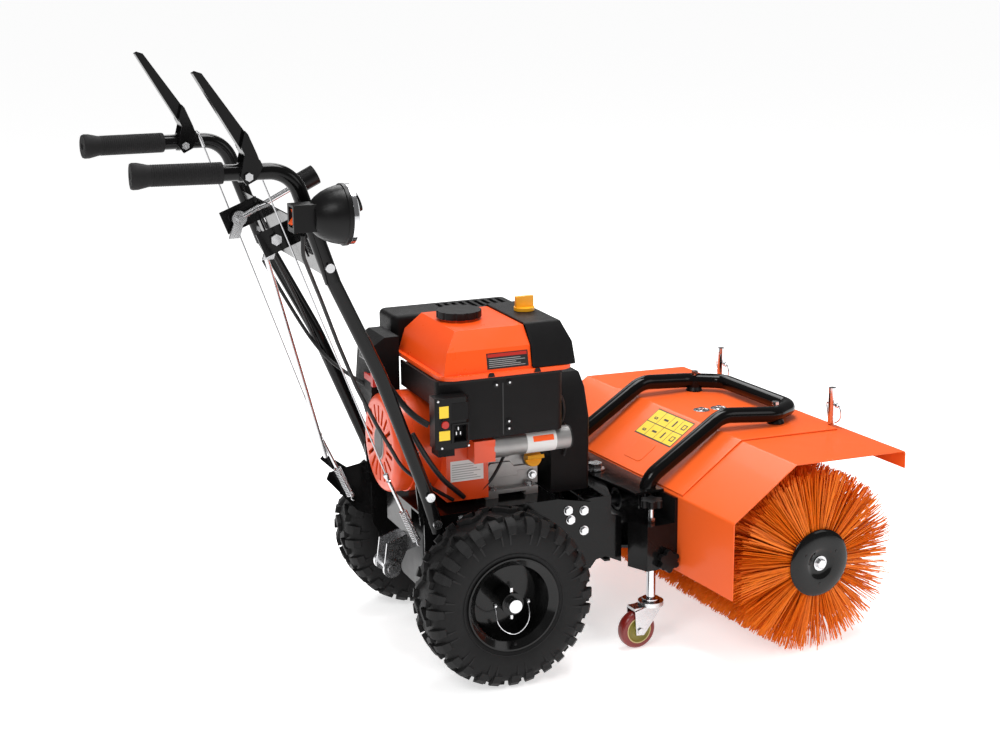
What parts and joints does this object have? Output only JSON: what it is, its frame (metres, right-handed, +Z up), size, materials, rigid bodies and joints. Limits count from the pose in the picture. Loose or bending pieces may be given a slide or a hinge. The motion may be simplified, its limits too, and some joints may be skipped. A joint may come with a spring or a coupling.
{
  "type": "walk behind sweeper",
  "caption": "Two-wheel walk behind power sweeper: engine tractor with handlebars, swivelling hooded rotary brush head on castors.",
  "frame": {"origin": "centre of the bounding box on the ground", "axes": "+X forward, from the handle to the brush; +Y to the left; +Z up"},
  "size_m": [1.4212, 0.8044, 1.1466],
  "materials": {
    "orange_paint": "gloss powder coat",
    "black_paint": "gloss",
    "orange_housing": "satin",
    "tank_paint": "gloss",
    "black_plastic": "fine texture",
    "bristle": "extruded strand",
    "tyre_rubber": "matt",
    "grip_rubber": "soft matt",
    "zinc": "zinc plated",
    "chrome": "polished",
    "cast_alloy": "cast",
    "steel": "machined",
    "gearbox_grey": "painted",
    "belt_rubber": "matt",
    "cable_black": "satin",
    "yellow_plastic": "gloss",
    "red_plastic": "gloss",
    "castor_tread": "satin"
  },
  "bodies": {
    "root": {"chassis_frame": "black_paint", "hitch_bracket": "black_paint", "transmission_case": "gearbox_grey", "drive_belt": "belt_rubber", "engine_crankcase": "cast_alloy", "blower_housing": "orange_housing", "recoil_cover": "orange_housing", "fuel_tank": "tank_paint", "tank_end_cover": "black_plastic", "engine_side_cover": "black_plastic", "starter_switch_box": "black_plastic", "starter_motor": "cast_alloy", "muffler_guard": "black_plastic", "heater_box": "black_plastic", "belt_cover": "black_plastic", "handle_lower_tubes": "black_paint", "handle_grips": "grip_rubber", "control_panel": "black_paint", "frame_bolts": "zinc", "handle_upper_bars": "black_paint", "lamp_cable": "cable_black"},
    "wheel_right": {"tyre_right": "tyre_rubber", "rim_right": "black_paint", "half_axle_right": "zinc"},
    "wheel_left": {"tyre_left": "tyre_rubber", "rim_left": "black_paint", "half_axle_left": "zinc"},
    "crank": {"crankshaft": "steel"},
    "drive": {"drive_shaft": "steel"},
    "head": {"head_frame": "black_paint", "hood": "orange_paint", "hood_centre_panel": "orange_paint", "bumper_tube": "black_paint", "collector_pins": "chrome", "head_fasteners": "black_plastic", "worm_gearbox": "gearbox_grey"},
    "gearbox_input": {"gearbox_input_shaft": "steel"},
    "brush": {"bristles": "bristle", "brush_shaft": "black_paint"},
    "fuel_cap": {"fuel_cap": "black_plastic"},
    "wing_knob": {"wing_knob": "yellow_plastic"},
    "dipstick": {"dipstick": "yellow_plastic"},
    "starter_button": {"starter_button": "red_plastic"},
    "throttle_lever": {"throttle_lever": "red_plastic"},
    "lamp": {"lamp_housing": "black_plastic"},
    "lamp_rocker": {"lamp_rocker": "red_plastic"},
    "shift_rod": {"shift_rod": "zinc"},
    "shift_arm": {"shift_arm": "black_paint"},
    "castor_post_right": {"castor_post_right": "chrome"},
    "castor_fork_right": {"castor_fork_right": "zinc"},
    "castor_wheel_right": {"castor_wheel_right": "castor_tread"},
    "clutch_lever_right": {"clutch_lever_right": "black_paint"},
    "clutch_wire_right": {"clutch_wire_right": "zinc"},
    "control_lever_right": {"control_lever_right": "black_plastic"},
    "castor_post_left": {"castor_post_left": "chrome"},
    "castor_fork_left": {"castor_fork_left": "zinc"},
    "castor_wheel_left": {"castor_wheel_left": "castor_tread"},
    "clutch_lever_left": {"clutch_lever_left": "black_paint"},
    "clutch_wire_left": {"clutch_wire_left": "zinc"},
    "control_lever_left": {"control_lever_left": "black_plastic"}
  },
  "joints": [
    {"name": "wheel_right_spin", "type": "hinge", "parent": "root", "child": "wheel_right", "pos_m": [-0.0707, -0.23721, 0.165], "axis": [0, 1, 0], "continuous": true},
    {"name": "wheel_left_spin", "type": "hinge", "parent": "root", "child": "wheel_left", "pos_m": [-0.0707, 0.23979, 0.165], "axis": [0, 1, 0], "continuous": true},
    {"name": "crank_spin", "type": "hinge", "parent": "root", "child": "crank", "pos_m": [0.0293, 0.00129, 0.413], "axis": [1, 0, 0], "continuous": true},
    {"name": "drive_spin", "type": "hinge", "parent": "root", "child": "drive", "pos_m": [0.1293, 0.00129, 0.235], "axis": [1, 0, 0], "continuous": true},
    {"name": "head_swivel", "type": "hinge", "parent": "root", "child": "head", "pos_m": [0.2293, 0.00129, 0.235], "axis": [0, 0, 1], "range_deg": [-20, 10]},
    {"name": "gearbox_input_spin", "type": "hinge", "parent": "head", "child": "gearbox_input", "pos_m": [0.32889, 0.01035, 0.235], "axis": [0.9959, 0.0906, 0], "continuous": true},
    {"name": "brush_spin", "type": "hinge", "parent": "head", "child": "brush", "pos_m": [0.49737, 0.00159, 0.181], "axis": [-0.0906, 0.9959, 0], "continuous": true},
    {"name": "fuel_cap_turn", "type": "hinge", "parent": "root", "child": "fuel_cap", "pos_m": [-0.0647, -0.01871, 0.65], "axis": [0, 0, 1], "range_deg": [0, 90]},
    {"name": "wing_knob_turn", "type": "hinge", "parent": "root", "child": "wing_knob", "pos_m": [0.0693, -0.01871, 0.6484], "axis": [0, 0, 1], "continuous": true},
    {"name": "dipstick_turn", "type": "hinge", "parent": "root", "child": "dipstick", "pos_m": [0.0513, -0.08271, 0.372], "axis": [0, -0.9404, 0.3401], "continuous": true},
    {"name": "starter_button_press", "type": "slide", "parent": "root", "child": "starter_button", "axis": [0, 1, 0], "range_m": [0, 0.003], "stiffness_N_per_m": 400},
    {"name": "throttle_lever_turn", "type": "hinge", "parent": "root", "child": "throttle_lever", "pos_m": [-0.2207, 0.06729, 0.53], "axis": [-1, 0, 0], "range_deg": [-8, 30]},
    {"name": "lamp_tilt", "type": "hinge", "parent": "root", "child": "lamp", "pos_m": [-0.4397, -0.28871, 0.905], "axis": [0, 1, 0], "range_deg": [-10, 10]},
    {"name": "lamp_rocker_press", "type": "hinge", "parent": "lamp", "child": "lamp_rocker", "pos_m": [-0.4527, -0.28871, 0.907], "axis": [0, 1, 0], "range_deg": [-8, 8]},
    {"name": "castor_right_height", "type": "slide", "parent": "head", "child": "castor_post_right", "axis": [0, 0, 1], "range_m": [-0.03, 0]},
    {"name": "castor_right_swivel", "type": "hinge", "parent": "castor_post_right", "child": "castor_fork_right", "pos_m": [0.25707, -0.1935, 0.088], "axis": [0, 0, 1], "continuous": true},
    {"name": "castor_right_spin", "type": "hinge", "parent": "castor_fork_right", "child": "castor_wheel_right", "pos_m": [0.2247, -0.19644, 0.0375], "axis": [-0.0906, 0.9959, 0], "continuous": true},
    {"name": "clutch_lever_right_squeeze", "type": "hinge", "parent": "root", "child": "clutch_lever_right", "pos_m": [-0.5197, -0.22431, 0.972], "axis": [0, -1, 0], "range_deg": [0, 45], "stiffness_Nm_per_rad": 2, "springref_deg": -34.38},
    {"name": "clutch_wire_right_pull", "type": "slide", "parent": "root", "child": "clutch_wire_right", "axis": [-0.3737, -0.1345, 0.9178], "range_m": [0, 0.0185]},
    {"name": "speed_lever_shift", "type": "hinge", "parent": "root", "child": "control_lever_right", "pos_m": [-0.4457, -0.11371, 0.843], "axis": [0, 1, 0], "range_deg": [-15, 15]},
    {"name": "castor_left_height", "type": "slide", "parent": "head", "child": "castor_post_left", "axis": [0, 0, 1], "range_m": [-0.03, 0]},
    {"name": "castor_left_swivel", "type": "hinge", "parent": "castor_post_left", "child": "castor_fork_left", "pos_m": [0.22145, 0.19789, 0.088], "axis": [0, 0, 1], "continuous": true},
    {"name": "castor_left_spin", "type": "hinge", "parent": "castor_fork_left", "child": "castor_wheel_left", "pos_m": [0.18908, 0.19494, 0.0375], "axis": [-0.0906, 0.9959, 0], "continuous": true},
    {"name": "clutch_lever_left_squeeze", "type": "hinge", "parent": "root", "child": "clutch_lever_left", "pos_m": [-0.5197, 0.22689, 0.972], "axis": [0, -1, 0], "range_deg": [0, 45], "stiffness_Nm_per_rad": 2, "springref_deg": -34.38},
    {"name": "clutch_wire_left_pull", "type": "slide", "parent": "root", "child": "clutch_wire_left", "axis": [-0.3161, 0.083, 0.9451], "range_m": [0, 0.0185]},
    {"name": "angle_lever_turn", "type": "hinge", "parent": "root", "child": "control_lever_left", "pos_m": [-0.4457, 0.11629, 0.843], "axis": [0, 1, 0], "range_deg": [-15, 15]},
    {"name": "shift_rod_travel", "type": "slide", "parent": "root", "child": "shift_rod", "axis": [-0.3122, -0.4465, 0.8386], "range_m": [-0.0052, 0.0052]},
    {"name": "shift_arm_turn", "type": "hinge", "parent": "root", "child": "shift_arm", "pos_m": [-0.2407, 0.16129, 0.31], "axis": [0, 1, 0], "range_deg": [-2.4, 2.4]}
  ],
  "couplings": [
    {"joint": "drive_spin", "follows": "crank_spin", "ratio": 0.66667},
    {"joint": "gearbox_input_spin", "follows": "crank_spin", "ratio": 0.66667},
    {"joint": "brush_spin", "follows": "crank_spin", "ratio": 0.083333},
    {"joint": "shift_rod_travel", "follows": "speed_lever_shift", "m_per_rad": 0.0185},
    {"joint": "shift_arm_turn", "follows": "speed_lever_shift", "ratio": 0.135},
    {"joint": "clutch_wire_right_pull", "follows": "clutch_lever_right_squeeze", "m_per_rad": 0.0229},
    {"joint": "clutch_wire_left_pull", "follows": "clutch_lever_left_squeeze", "m_per_rad": 0.0229}
  ]
}
